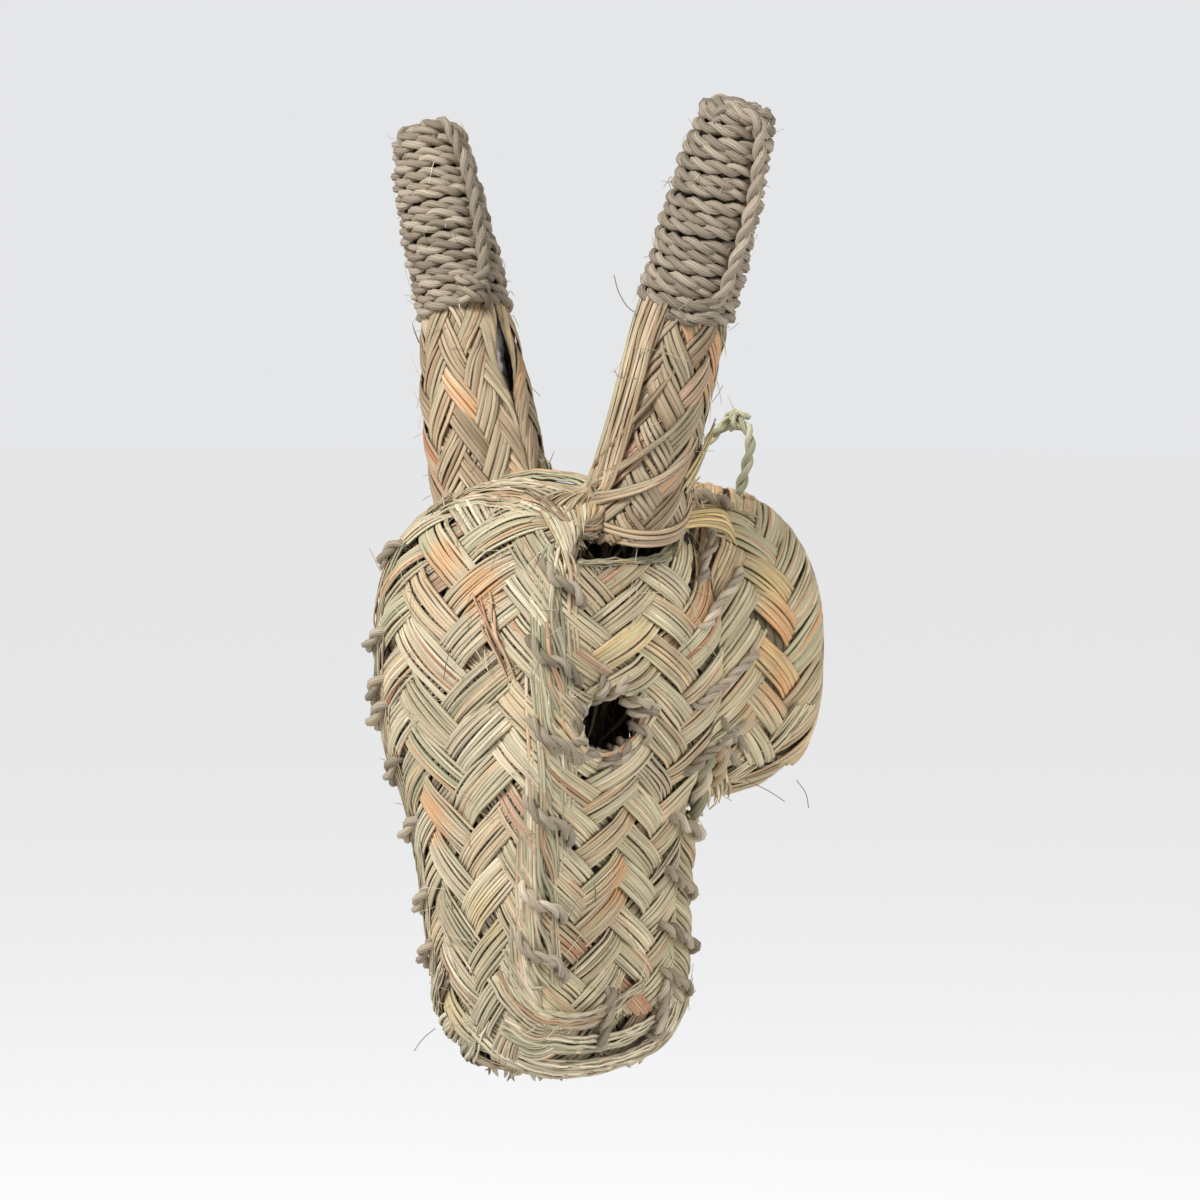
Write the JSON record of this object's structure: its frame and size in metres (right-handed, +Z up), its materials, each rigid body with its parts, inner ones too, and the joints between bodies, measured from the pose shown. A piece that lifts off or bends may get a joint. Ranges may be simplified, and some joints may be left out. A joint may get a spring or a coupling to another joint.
{
  "type": "woven grass animal head wall trophy",
  "caption": "Hollow animal head of plaited grass bands sewn together, with two upright cord-wound horns, a neck collar that stands on a wall and a cord loop to hang it.",
  "frame": {"origin": "the point where the hanging nail enters the wall, on the wall plane behind the top of the cord loop", "axes": "+Z up; the face looks along -Y; the wall is the plane Y = 0 and its room side is -Y; +X is the head's left hand side as it looks out, the viewer's right"},
  "size_m": [0.2344, 0.1717, 0.447],
  "materials": {
    "plaited_straw": "dry matte plaited grass",
    "horn_straw": "dry matte plaited grass, browner",
    "grey_cord": "matte two-ply twisted grass cord",
    "green_cord": "matte two-ply twisted grass cord, pale green",
    "stuffing": "slightly shiny crumpled film and waste stuffing"
  },
  "bodies": {
    "root": {"face_band": "plaited_straw", "jaw_band": "plaited_straw", "neck_collar": "plaited_straw", "crown_lacing": "grey_cord", "hanging_loop": "green_cord", "left_cheek_band": "plaited_straw", "left_horn_sleeve": "horn_straw", "left_horn_core": "stuffing", "left_horn_winding": "grey_cord", "left_horn_tip_coil": "grey_cord", "left_horn_lacing": "grey_cord", "left_horn_base_lacing": "grey_cord", "left_eye_binding": "grey_cord", "left_ridge_lacing": "grey_cord", "left_jaw_lacing": "grey_cord", "left_collar_lacing": "grey_cord", "left_muzzle_lacing": "grey_cord", "right_cheek_band": "plaited_straw", "right_horn_sleeve": "horn_straw", "right_horn_core": "stuffing", "right_horn_winding": "grey_cord", "right_horn_tip_coil": "grey_cord", "right_horn_lacing": "grey_cord", "right_horn_base_lacing": "grey_cord", "right_eye_binding": "grey_cord", "right_ridge_lacing": "grey_cord", "right_jaw_lacing": "grey_cord", "right_collar_lacing": "grey_cord", "right_muzzle_lacing": "grey_cord"}
  },
  "joints": []
}
